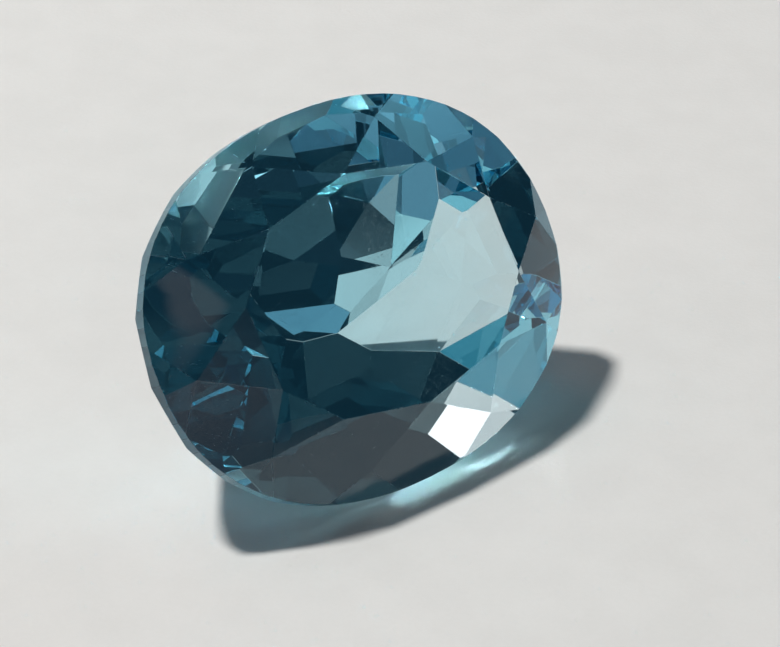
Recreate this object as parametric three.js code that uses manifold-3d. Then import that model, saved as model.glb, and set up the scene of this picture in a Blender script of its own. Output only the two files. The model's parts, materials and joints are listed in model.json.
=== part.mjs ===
// A cut topaz: an oval brilliant, 14 mm long, lying on its side on a facet of its pavilion.
//
// The stone is worked the way a cutter works it. A blank with the oval outline of the girdle is ground
// flat, one facet after another: first the table and the crown round it, then the pavilion below.
// All lengths are in millimetres and all angles in degrees.
import * as THREE from "three";
import { mergeVertices } from "three/addons/utils/BufferGeometryUtils.js";
import Module from "manifold-3d";

// The whole stone.
const LENGTH = 14.0;
const WIDTH = 10.66;
const CROWN_HEIGHT = 1.22;
const GIRDLE_THICKNESS = 0.3;
const PAVILION_DEPTH = 6.37;
const OUTLINE_POWER = 2.2; // 2 is a plain ellipse, and more is fuller at the shoulders
const GIRDLE_SIDES = 72;

// The crown.
const CROWN_TURNS = [18, 54, 89.5, 126, 163, 201.5, 234, 270, 306.5, 343]; // of the mains, nearly even
const TABLE_LENGTH = 9.15;
const TABLE_WIDTH = 6.6;
const MAIN_FOOT_ANGLE = 8; // half of what a crown main takes of the girdle
const STAR_REACH = 0.55; // how far down the crown a star facet's tip lies

// The pavilion, cut by hand, so that no two sides are quite alike. A turn is a facet's place round the
// outline. A slope is its angle to the girdle's plane, which the oval needs steeper across its width than
// along its length. A stand-off is how far outside the girdle a facet's plane passes.
const POINT_OFFSET = [-0.02, -0.05]; // of the point from the middle, along the length and across it
const POINT_FACETS = [
  { turn: 166, slope: 38.9 },
  { turn: 225.5, slope: 37.8 },
  { turn: 268.5, slope: 43.5 },
  { turn: 326, slope: 38.5 },
];
const RESTING_FACET = { turn: 269.2, slope: 53.6, standOff: 0.05 };
const PAVILION_MAINS = [
  { turn: -0.5, slope: 46.6, standOff: 0.43 },
  { turn: 28, slope: 42, standOff: 0.85 },
  { turn: 66, slope: 39.2, standOff: 0.5 },
  { turn: 109.5, slope: 48.8, standOff: 0.3 },
  { turn: 140, slope: 44.2, standOff: 0.89 },
  { turn: 175.5, slope: 44.7, standOff: 0.26 },
  { turn: 187, slope: 41.1, standOff: 0.56 },
  RESTING_FACET,
  { turn: 288, slope: 51.5, standOff: 0.25 },
  { turn: 320.5, slope: 50.2, standOff: 0.18 },
  { turn: 325, slope: 42.4, standOff: 0.95 },
];

// The breaks, along the girdle. The odd ones are given by their place in the ring.
const BREAK_FACETS = 20;
const BREAK = { slope: 54.8, standOff: 0.02 };
const ODD_BREAKS = {
  0: { turn: 0.5, slope: 54.3, standOff: -0.12 },
  2: { turn: 30, slope: 52.8, standOff: -0.11 },
  3: { turn: 65, standOff: -0.1 },
  6: { turn: 115.5, slope: 53.3, standOff: 0.06 },
  7: { slope: 52.8 },
  12: { turn: 218, slope: 56 },
  13: { turn: 238.5 },
  15: { slope: 63.8 },
  16: { turn: 290.5, slope: 54.2 },
  17: { slope: 54.5, standOff: -0.11 },
  18: { slope: 51.4, standOff: 0.14 },
};

// How the stone lies.
const HEADING = 43.1; // of the long axis, from +X

// The cutter's tools.
const BLANK_ALLOWANCE = 1; // of rough, above the table and below the point
const LAP_SIZE = 3 * LENGTH;

const GIRDLE_TOP = 0;
const GIRDLE_BOTTOM = -GIRDLE_THICKNESS;
const TABLE_LEVEL = CROWN_HEIGHT;
const POINT_LEVEL = GIRDLE_BOTTOM - PAVILION_DEPTH;

const radians = THREE.MathUtils.degToRad;

// A point of an oval with the given length and width, at an angle that runs evenly round it.
function ovalPoint(turn, length, width, level) {
  const reach = (c) => Math.sign(c) * Math.abs(c) ** (2 / OUTLINE_POWER);
  const x = (length / 2) * reach(Math.cos(radians(turn)));
  const y = (width / 2) * reach(Math.sin(radians(turn)));
  return new THREE.Vector3(x, y, level);
}

const girdlePoint = (turn, level) => ovalPoint(turn, LENGTH, WIDTH, level);

// The direction, in the girdle's plane, that the outline faces at an angle.
function outwardAt(turn) {
  const step = 0.01;
  const along = girdlePoint(turn + step, 0).sub(girdlePoint(turn - step, 0));
  return new THREE.Vector3(along.y, -along.x, 0).normalize();
}

// A plane that faces outwards at an angle of the outline, leans down by its slope and holds a point.
function pavilionPlane(turn, slope, point) {
  const normal = outwardAt(turn).multiplyScalar(Math.sin(radians(slope)));
  normal.z = -Math.cos(radians(slope));
  return new THREE.Plane().setFromNormalAndCoplanarPoint(normal, point);
}

// The plane of a facet that stands off the girdle's lower edge.
function planeAtGirdle({ turn, slope, standOff }) {
  const point = girdlePoint(turn, GIRDLE_BOTTOM).addScaledVector(outwardAt(turn), standOff);
  return pavilionPlane(turn, slope, point);
}

// A plane through three points of the crown, facing up.
function crownPlane(a, b, c) {
  const plane = new THREE.Plane().setFromCoplanarPoints(a, b, c);
  return plane.normal.z < 0 ? plane.negate() : plane;
}

// Where two neighbouring crown mains meet, at a level.
function meetAt(first, second, level) {
  const flat = new THREE.Plane(new THREE.Vector3(0, 0, 1), -level);
  const rows = [first, second, flat].map((plane) => plane.normal);
  const matrix = new THREE.Matrix3().set(...rows.flatMap((row) => row.toArray())).invert();
  return new THREE.Vector3(-first.constant, -second.constant, -flat.constant).applyMatrix3(matrix);
}

function crownPlanes() {
  const corners = CROWN_TURNS.map((turn) => ovalPoint(turn, TABLE_LENGTH, TABLE_WIDTH, TABLE_LEVEL));
  const mains = CROWN_TURNS.map((turn, k) => {
    const left = girdlePoint(turn - MAIN_FOOT_ANGLE, GIRDLE_TOP);
    const right = girdlePoint(turn + MAIN_FOOT_ANGLE, GIRDLE_TOP);
    return crownPlane(corners[k], left, right);
  });
  const table = new THREE.Plane(new THREE.Vector3(0, 0, 1), -TABLE_LEVEL);
  const between = CROWN_TURNS.flatMap((turn, k) => {
    const next = (k + 1) % CROWN_TURNS.length;
    const nextTurn = CROWN_TURNS[next] + (next === 0 ? 360 : 0);
    const tip = meetAt(mains[k], mains[next], TABLE_LEVEL * (1 - STAR_REACH));
    const left = girdlePoint(turn + MAIN_FOOT_ANGLE, GIRDLE_TOP);
    const middle = girdlePoint((turn + nextTurn) / 2, GIRDLE_TOP);
    const right = girdlePoint(nextTurn - MAIN_FOOT_ANGLE, GIRDLE_TOP);
    return [
      crownPlane(corners[k], corners[next], tip),
      crownPlane(tip, left, middle),
      crownPlane(tip, middle, right),
    ];
  });
  return [table, ...mains, ...between];
}

function breakFacets() {
  const step = 360 / BREAK_FACETS;
  return Array.from({ length: BREAK_FACETS }, (_, k) => ({
    turn: step * (k + 0.5),
    ...BREAK,
    ...ODD_BREAKS[k],
  }));
}

function pavilionPlanes() {
  const point = new THREE.Vector3(...POINT_OFFSET, POINT_LEVEL);
  const tips = POINT_FACETS.map(({ turn, slope }) => pavilionPlane(turn, slope, point));
  return [...tips, ...[...PAVILION_MAINS, ...breakFacets()].map(planeAtGirdle)];
}

const wasm = await Module();
wasm.setup();

// A geometry as a solid that can be cut.
function solidOf(geometry) {
  const bare = geometry.index ? geometry.clone() : geometry;
  bare.deleteAttribute("normal");
  bare.deleteAttribute("uv");
  const merged = mergeVertices(bare);
  return new wasm.Manifold(
    new wasm.Mesh({
      numProp: 3,
      vertProperties: new Float32Array(merged.attributes.position.array),
      triVerts: new Uint32Array(merged.index.array),
    }),
  );
}

// The blank, as high as the stone, with the girdle's outline.
function blank() {
  const outline = Array.from({ length: GIRDLE_SIDES }, (_, k) => {
    const { x, y } = girdlePoint((360 / GIRDLE_SIDES) * k, 0);
    return new THREE.Vector2(x, y);
  });
  const depth = TABLE_LEVEL - POINT_LEVEL + 2 * BLANK_ALLOWANCE;
  const geometry = new THREE.ExtrudeGeometry(new THREE.Shape(outline), { depth, bevelEnabled: false });
  return solidOf(geometry.translate(0, 0, POINT_LEVEL - BLANK_ALLOWANCE));
}

// Grinds the stone down to a plane, with a block that stands on it.
function grind(stone, plane) {
  const turned = new THREE.Quaternion().setFromUnitVectors(new THREE.Vector3(0, 0, 1), plane.normal);
  const block = new THREE.BoxGeometry(LAP_SIZE, LAP_SIZE, LAP_SIZE).translate(0, 0, LAP_SIZE / 2);
  const place = plane.normal.clone().multiplyScalar(-plane.constant);
  block.applyQuaternion(turned).translate(place.x, place.y, place.z);
  return stone.subtract(solidOf(block));
}

const cut = [...crownPlanes(), ...pavilionPlanes()].reduce(grind, blank());

const mesh = cut.getMesh();
const geometry = new THREE.BufferGeometry();
geometry.setAttribute("position", new THREE.BufferAttribute(mesh.vertProperties, 3));
geometry.setIndex(new THREE.BufferAttribute(mesh.triVerts, 1));

// Lays the stone on its resting facet, turns the long axis to its heading, and puts the middle of its
// extent over the origin.
const down = new THREE.Vector3(0, 0, -1);
const lay = new THREE.Quaternion().setFromUnitVectors(planeAtGirdle(RESTING_FACET).normal, down);
const axis = new THREE.Vector3(1, 0, 0).applyQuaternion(lay);
const heading = radians(HEADING) - Math.atan2(axis.y, axis.x);
const face = new THREE.Quaternion().setFromAxisAngle(new THREE.Vector3(0, 0, 1), heading);
geometry.applyQuaternion(face.multiply(lay));
geometry.computeBoundingBox();
const { min, max } = geometry.boundingBox;
geometry.translate(-(min.x + max.x) / 2, -(min.y + max.y) / 2, -min.z);
const flat = geometry.toNonIndexed();
flat.computeVertexNormals();

const material = new THREE.MeshStandardMaterial({ color: 0x4fa3bf, roughness: 0.03, metalness: 0 });
material.name = "topaz";
const topaz = new THREE.Mesh(flat, material);
topaz.name = "topaz";

const stone = new THREE.Group();
stone.add(topaz);

export default stone;
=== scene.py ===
"""A cut topaz, an oval brilliant 14 mm long, lying on its side on pale paper under one small lamp."""

import json
import math

import bmesh
import bpy
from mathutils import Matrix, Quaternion, Vector


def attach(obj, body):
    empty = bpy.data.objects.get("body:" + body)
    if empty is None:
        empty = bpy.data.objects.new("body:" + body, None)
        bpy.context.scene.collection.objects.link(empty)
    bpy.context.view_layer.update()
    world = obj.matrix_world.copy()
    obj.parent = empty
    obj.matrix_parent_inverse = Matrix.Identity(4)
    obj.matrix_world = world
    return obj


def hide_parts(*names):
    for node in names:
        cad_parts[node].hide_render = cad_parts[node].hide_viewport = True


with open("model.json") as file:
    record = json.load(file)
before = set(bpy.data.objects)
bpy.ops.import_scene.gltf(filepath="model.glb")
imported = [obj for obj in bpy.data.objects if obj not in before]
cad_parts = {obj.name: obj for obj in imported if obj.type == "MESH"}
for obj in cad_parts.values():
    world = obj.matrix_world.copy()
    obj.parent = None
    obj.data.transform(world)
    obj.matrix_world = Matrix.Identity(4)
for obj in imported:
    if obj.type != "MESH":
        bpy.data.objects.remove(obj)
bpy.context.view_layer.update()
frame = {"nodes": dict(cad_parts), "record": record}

MM = 0.001
PER_METRE = 1 / MM
MOUNTS = {mount["name"]: mount for mount in frame["record"]["mounts"]}
TABLE_CENTRE = Vector(MOUNTS["table"]["pos_m"])
TABLE_NORMAL = Vector(MOUNTS["table"]["axis"]).normalized()

# The camera looks at the middle of the table.
CAMERA_DISTANCE = 91.4 * MM
CAMERA_ELEVATION = math.radians(32.62)
CAMERA_ROLL = math.radians(2.77)
CAMERA_LENS = 156.2
CAMERA_SHIFT = (0.0045, -0.0449)
FAR_CLIP = 100

# The stone's edges, in millimetres. A face narrower than NARROW is a chamfer, since no facet is.
EDGE_CHAMFER = 0.006
SMALLEST_EDGE = 0.02
NARROW = 0.03
FLAT_ENOUGH = math.radians(0.3)
UPRIGHT = 0.05  # how far a girdle face may lean

# The topaz. Its polish is very slightly wavy. Here and below, the scale of a pattern is in waves to the
# millimetre.
TOPAZ_IOR = 1.62
TOPAZ_TINT = (0.0, 0.70, 0.85)
TOPAZ_DENSITY = 80.0
POLISH_SCALE = 0.45
POLISH_RELIEF = 0.0016 * MM

# The girdle is ground, and left unpolished.
CLEAR = (1, 1, 1)
GIRDLE_TONE = (0.80, 0.88, 0.94)
GIRDLE_COVER = 0.6
GIRDLE_ROUGHNESS = 0.25
GRAIN_SCALE = 14.0
GRAIN_ROUGHNESS = 0.25
GRAIN_RELIEF = 0.004 * MM

# The wear: runs of scratches, each with its direction, width and share of the surface, and nicked edges.
SCRATCH_RUNS = [
    ((0.3, 0.5, 0.4), 0.006, 0.42),
    ((0.9, -0.4, 1.9), 0.005, 0.38),
    ((-0.7, 0.2, 2.7), 0.004, 0.40),
]
SCRATCH_STRETCH = (0.25, 9, 9)
SCRATCH_ROUGHNESS = 0.18
SCRATCHED_SCALE = 0.35
NICK_SCALE = 2.2
NICK_ROUGHNESS = 0.35

# The paper lies a hair below the facet that the stone rests on.
PAPER_SIZE = 4.0
PAPER_DROP = 0.02 * MM
PAPER_DULL = (0.785, 0.775, 0.755)
PAPER_BRIGHT = (0.815, 0.805, 0.785)
PAPER_ROUGHNESS = 0.9
PAPER_SHEEN = 0.2
CLOUD_SCALE = 0.5
TOOTH_SCALE = 7.0
TOOTH_SHARE = 0.25  # of the paper's unevenness, and the rest is cloudiness
TOOTH_STRENGTH = 0.3
TOOTH_DEPTH = 0.02 * MM

# The lamp stands to the left and a little behind the stone.
LAMP_DIRECTION = Vector((-0.432, 0.158, 0.888)).normalized()
LAMP_DISTANCE = 350 * MM
LAMP_SIZE = 35 * MM
LAMP_POWER = 1.03
LAMP_COLOUR = (1.0, 0.99, 0.965)

# Patches of soft light round the dim room: azimuth, elevation, angular radius and tone. A separate
# fitting program made this list. One patch, and two tones, were then set by hand.
ROOM_TONE = (0.011, 0.027, 0.038)
SOFT_LIGHTS = [
    (58, 31, 6.1, (0.63, 1.80, 2.33)),
    (129, 54, 5.5, (1.30, 0.85, 0.80)),
    (135, 52, 11.4, (0.95, 0.73, 0.68)),
    (150, 13, 24.0, (0.17, 0.18, 0.22)),
    (199, 30, 15.6, (0.42, 0.37, 0.40)),
    (247, 21, 18.7, (0.09, 0.26, 0.31)),
    (257, 19, 7.5, (0.86, 0.74, 0.64)),
    (259, 50, 9.4, (0.46, 0.40, 0.38)),
    (288, 21, 14.7, (1.00, 0.80, 0.73)),
    (319, 25, 4.7, (0.23, 0.33, 0.39)),
]
SOFT_CORE, SOFT_RIM = 0.65, 1.35  # of its radius, where a patch begins to fade and where it ends

# Light crosses the stone many times, but leaves the paper at once.
CRYSTAL_BOUNCES = 32
PAPER_BOUNCES = 4


def link(obj):
    bpy.context.scene.collection.objects.link(obj)
    return obj


# --- Materials -------------------------------------------------------------------------------------


class Value:
    """A number that varies over a surface. Sums written with it become Math nodes."""

    def __init__(self, finish, socket):
        self.finish = finish
        self.socket = socket

    def sum(self, operation, *terms):
        node = self.finish.node("ShaderNodeMath", {"operation": operation}, dict(enumerate(terms)))
        return Value(self.finish, node.outputs[0])

    def __add__(self, other):
        return self.sum("ADD", self, other)

    def __radd__(self, other):
        return self.sum("ADD", other, self)

    def __sub__(self, other):
        return self.sum("SUBTRACT", self, other)

    def __rsub__(self, other):
        return self.sum("SUBTRACT", other, self)

    def __mul__(self, other):
        return self.sum("MULTIPLY", self, other)

    def __rmul__(self, other):
        return self.sum("MULTIPLY", other, self)

    def __abs__(self):
        return self.sum("ABSOLUTE", self)


class Finish:
    """The nodes of a material, or of the room's light, under construction."""

    def __init__(self, owner):
        self.owner = owner
        owner.use_nodes = True
        self.tree = owner.node_tree
        self.tree.nodes.clear()

    def node(self, kind, settings=None, sockets=None):
        """Adds a node: its settings first, then its sockets, by name or place."""
        made = self.tree.nodes.new(kind)
        for name, setting in (settings or {}).items():
            setattr(made, name, setting)
        for name, value in (sockets or {}).items():
            value = value.socket if isinstance(value, Value) else value
            if isinstance(value, bpy.types.NodeSocket):
                self.tree.links.new(value, made.inputs[name])
            else:
                made.inputs[name].default_value = value
        return made

    def place(self):
        """The place on the piece, in millimetres."""
        place = self.node("ShaderNodeTexCoord").outputs["Object"]
        return self.turned(place, (0, 0, 0), (PER_METRE,) * 3)

    def turned(self, place, angles, stretch):
        """A place on a pattern that is turned, and then stretched."""
        settings = {"vector_type": "POINT"}
        sockets = {"Vector": place, "Rotation": angles, "Scale": stretch}
        return self.node("ShaderNodeMapping", settings, sockets).outputs["Vector"]

    def along(self, direction, axis):
        """How nearly a direction runs along an axis."""
        settings = {"operation": "DOT_PRODUCT"}
        made = self.node("ShaderNodeVectorMath", settings, {0: direction, 1: axis})
        return Value(self, made.outputs["Value"])

    def noise(self, place, scale, detail, roughness=0.5):
        sockets = {"Vector": place, "Scale": scale, "Detail": detail, "Roughness": roughness}
        return Value(self, self.node("ShaderNodeTexNoise", None, sockets).outputs["Fac"])

    def step(self, value, start, end):
        """0 below a start and 1 above an end, with a soft rise between."""
        settings = {"interpolation_type": "SMOOTHSTEP"}
        sockets = {"Value": value, "From Min": start, "From Max": end}
        return Value(self, self.node("ShaderNodeMapRange", settings, sockets).outputs["Result"])

    def painted(self, name):
        """What is written on each face under a name."""
        settings = {"attribute_type": "GEOMETRY", "attribute_name": name}
        return Value(self, self.node("ShaderNodeAttribute", settings).outputs["Fac"])

    def mix(self, share, under, over, how="MIX"):
        """A share of one colour laid over another, or added to it."""
        settings = {"data_type": "RGBA", "blend_type": how}
        return self.node("ShaderNodeMix", settings, {"Factor": share, 6: under, 7: over}).outputs[2]

    def relief(self, height, strength, depth):
        sockets = {"Height": height, "Strength": strength, "Distance": depth}
        return self.node("ShaderNodeBump", None, sockets).outputs["Normal"]

    def close(self, surface, volume=None):
        sockets = {"Surface": surface.outputs[0]}
        if volume:
            sockets["Volume"] = volume.outputs[0]
        self.node("ShaderNodeOutputMaterial", None, sockets)
        return self.owner


def opaque(tone):
    return (*tone, 1)


def hairlines(finish, place, angles, width, share):
    """Hair-fine scratches that run one way, broken up so that only some of their length shows."""
    run = finish.turned(place, angles, SCRATCH_STRETCH)
    line = 1 - finish.step(abs(finish.noise(run, 1.0, 0.0) - 0.5), width * 0.5, width)
    seen = finish.step(finish.noise(place, SCRATCHED_SCALE, 1.0), 1 - share, 1.05 - share)
    return line * seen


def topaz_finish():
    """Clear blue crystal, with polished and faintly scratched facets, a ground girdle and nicked edges."""
    finish = Finish(bpy.data.materials.new("topaz"))
    place = finish.place()
    girdle = finish.painted("girdle")
    scratches = sum(hairlines(finish, place, *run) for run in SCRATCH_RUNS)
    nicks = finish.painted("edge") * finish.step(finish.noise(place, NICK_SCALE, 3.0), 0.52, 0.62)
    grain = finish.noise(place, GRAIN_SCALE, 3.0, 0.7)
    polish = finish.noise(place, POLISH_SCALE, 1.0)
    ground = girdle * (GIRDLE_ROUGHNESS + GRAIN_ROUGHNESS * grain)
    height = girdle * grain * GRAIN_RELIEF + polish * POLISH_RELIEF
    surface = finish.node(
        "ShaderNodeBsdfPrincipled",
        None,
        {
            "Base Color": finish.mix(girdle * GIRDLE_COVER, opaque(CLEAR), opaque(GIRDLE_TONE)),
            "Roughness": ground + nicks * NICK_ROUGHNESS + scratches * SCRATCH_ROUGHNESS,
            "IOR": TOPAZ_IOR,
            "Transmission Weight": 1.0,
            "Normal": finish.relief(height, 1.0, 1.0),
        },
    )
    absorption = {"Color": opaque(TOPAZ_TINT), "Density": TOPAZ_DENSITY}
    return finish.close(surface, finish.node("ShaderNodeVolumeAbsorption", None, absorption))


def paper_finish():
    """Smooth white paper, with a faint cloudiness and a fine tooth."""
    finish = Finish(bpy.data.materials.new("paper"))
    place = finish.place()
    cloud = finish.noise(place, CLOUD_SCALE, 3.0)
    tooth = finish.noise(place, TOOTH_SCALE, 2.0)
    cloudy, rough = finish.step(cloud, 0.3, 0.7), finish.step(tooth, 0.3, 0.7)
    shade = (1 - TOOTH_SHARE) * cloudy + TOOTH_SHARE * rough
    surface = finish.node(
        "ShaderNodeBsdfPrincipled",
        None,
        {
            "Base Color": finish.mix(shade, opaque(PAPER_DULL), opaque(PAPER_BRIGHT)),
            "Roughness": PAPER_ROUGHNESS,
            "Specular IOR Level": PAPER_SHEEN,
            "Normal": finish.relief(tooth, TOOTH_STRENGTH, TOOTH_DEPTH),
        },
    )
    return finish.close(surface)


# --- The stone -------------------------------------------------------------------------------------


def mark_faces(mesh):
    """Writes on each face whether it belongs to a chamfer or to the girdle."""
    edge = mesh.faces.layers.float.new("edge")
    girdle = mesh.faces.layers.float.new("girdle")
    for face in mesh.faces:
        upright = abs(face.normal.dot(TABLE_NORMAL)) < UPRIGHT
        narrow = 2 * face.calc_area() < NARROW * face.calc_perimeter()
        face[edge] = float(narrow)
        face[girdle] = float(upright and not narrow)


def cut_stone(rough):
    """The stone, worked in millimetres, with the fine chamfer that polishing leaves along every edge."""
    bpy.ops.object.select_all(action="DESELECT")
    stone = link(bpy.data.objects.new("cut_stone", rough.data.copy()))
    stone.select_set(True)
    bpy.context.view_layer.objects.active = stone
    bpy.ops.object.mode_set(mode="EDIT")
    bpy.ops.mesh.select_all(action="SELECT")
    bpy.ops.transform.resize(value=(PER_METRE,) * 3, center_override=(0, 0, 0))
    bpy.ops.mesh.remove_doubles(threshold=SMALLEST_EDGE)
    bpy.ops.mesh.dissolve_limited(angle_limit=FLAT_ENOUGH)
    bpy.ops.mesh.select_all(action="SELECT")
    bpy.ops.mesh.bevel(offset=EDGE_CHAMFER, segments=1, affect="EDGES")
    mesh = bmesh.from_edit_mesh(stone.data)
    mesh.normal_update()
    mark_faces(mesh)
    bmesh.update_edit_mesh(stone.data)
    bpy.ops.mesh.select_all(action="SELECT")
    bpy.ops.transform.resize(value=(MM,) * 3, center_override=(0, 0, 0))
    bpy.ops.mesh.normals_make_consistent(inside=False)
    bpy.ops.object.mode_set(mode="OBJECT")
    stone.data.materials.clear()
    stone.data.materials.append(topaz_finish())
    return stone


# --- The camera, the stage and the lights ----------------------------------------------------------


def make_camera():
    camera = link(bpy.data.objects.new("camera", bpy.data.cameras.new("camera")))
    back = Vector((0, -math.cos(CAMERA_ELEVATION), math.sin(CAMERA_ELEVATION)))
    level = (-back).to_track_quat("-Z", "Y")
    camera.rotation_mode = "QUATERNION"
    camera.rotation_quaternion = Quaternion(back, CAMERA_ROLL) @ level
    camera.location = TABLE_CENTRE + CAMERA_DISTANCE * back
    camera.data.lens = CAMERA_LENS
    camera.data.shift_x, camera.data.shift_y = CAMERA_SHIFT
    camera.data.clip_start, camera.data.clip_end = MM, FAR_CLIP
    bpy.context.scene.camera = camera


def lay_paper():
    bpy.ops.object.select_all(action="DESELECT")
    bpy.ops.mesh.primitive_plane_add(size=PAPER_SIZE, location=(0, 0, -PAPER_DROP))
    paper = bpy.context.object
    paper.name = "paper"
    paper.data.materials.append(paper_finish())


def make_lamp():
    """The small round lamp, which faces the stone."""
    lamp = link(bpy.data.objects.new("lamp", bpy.data.lights.new("lamp", "AREA")))
    lamp.data.shape = "DISK"
    lamp.data.size = LAMP_SIZE
    lamp.data.energy = LAMP_POWER
    lamp.data.color = LAMP_COLOUR
    lamp.location = LAMP_DIRECTION * LAMP_DISTANCE
    lamp.rotation_mode = "QUATERNION"
    lamp.rotation_quaternion = (-LAMP_DIRECTION).to_track_quat("-Z", "Y")


def towards(azimuth, elevation):
    """A direction, by its angle round from +X and its angle up from the floor."""
    turn, rise = math.radians(azimuth), math.radians(elevation)
    flat = math.cos(rise)
    return flat * math.cos(turn), flat * math.sin(turn), math.sin(rise)


def light_room():
    """A dim room, with patches of soft light round the stone."""
    room = Finish(bpy.data.worlds.new("room"))
    direction = room.node("ShaderNodeTexCoord").outputs["Generated"]
    tone = opaque(ROOM_TONE)
    for azimuth, elevation, radius, light in SOFT_LIGHTS:
        rim = math.cos(math.radians(SOFT_RIM * radius))
        core = math.cos(math.radians(SOFT_CORE * radius))
        near = room.step(room.along(direction, towards(azimuth, elevation)), rim, core)
        tone = room.mix(near, tone, opaque(light), "ADD")
    background = room.node("ShaderNodeBackground", None, {"Color": tone})
    room.node("ShaderNodeOutputWorld", None, {"Surface": background.outputs[0]})
    bpy.context.scene.world = room.owner


def set_up_render():
    """Every path of light through the stone is kept. What its facets mirror on to the paper is left out."""
    scene = bpy.context.scene
    scene.cycles.use_denoising = True
    scene.cycles.sampling_pattern = "TABULATED_SOBOL"
    scene.cycles.max_bounces = CRYSTAL_BOUNCES
    scene.cycles.transmission_bounces = CRYSTAL_BOUNCES
    scene.cycles.glossy_bounces = CRYSTAL_BOUNCES
    scene.cycles.diffuse_bounces = PAPER_BOUNCES
    scene.cycles.caustics_reflective = False
    scene.cycles.blur_glossy = 0.0
    scene.cycles.sample_clamp_indirect = 0
    scene.view_settings.view_transform = "Standard"


make_camera()
stone = cut_stone(frame["nodes"]["topaz"])
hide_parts("topaz")
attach(stone, "root")
lay_paper()
make_lamp()
light_room()
set_up_render()
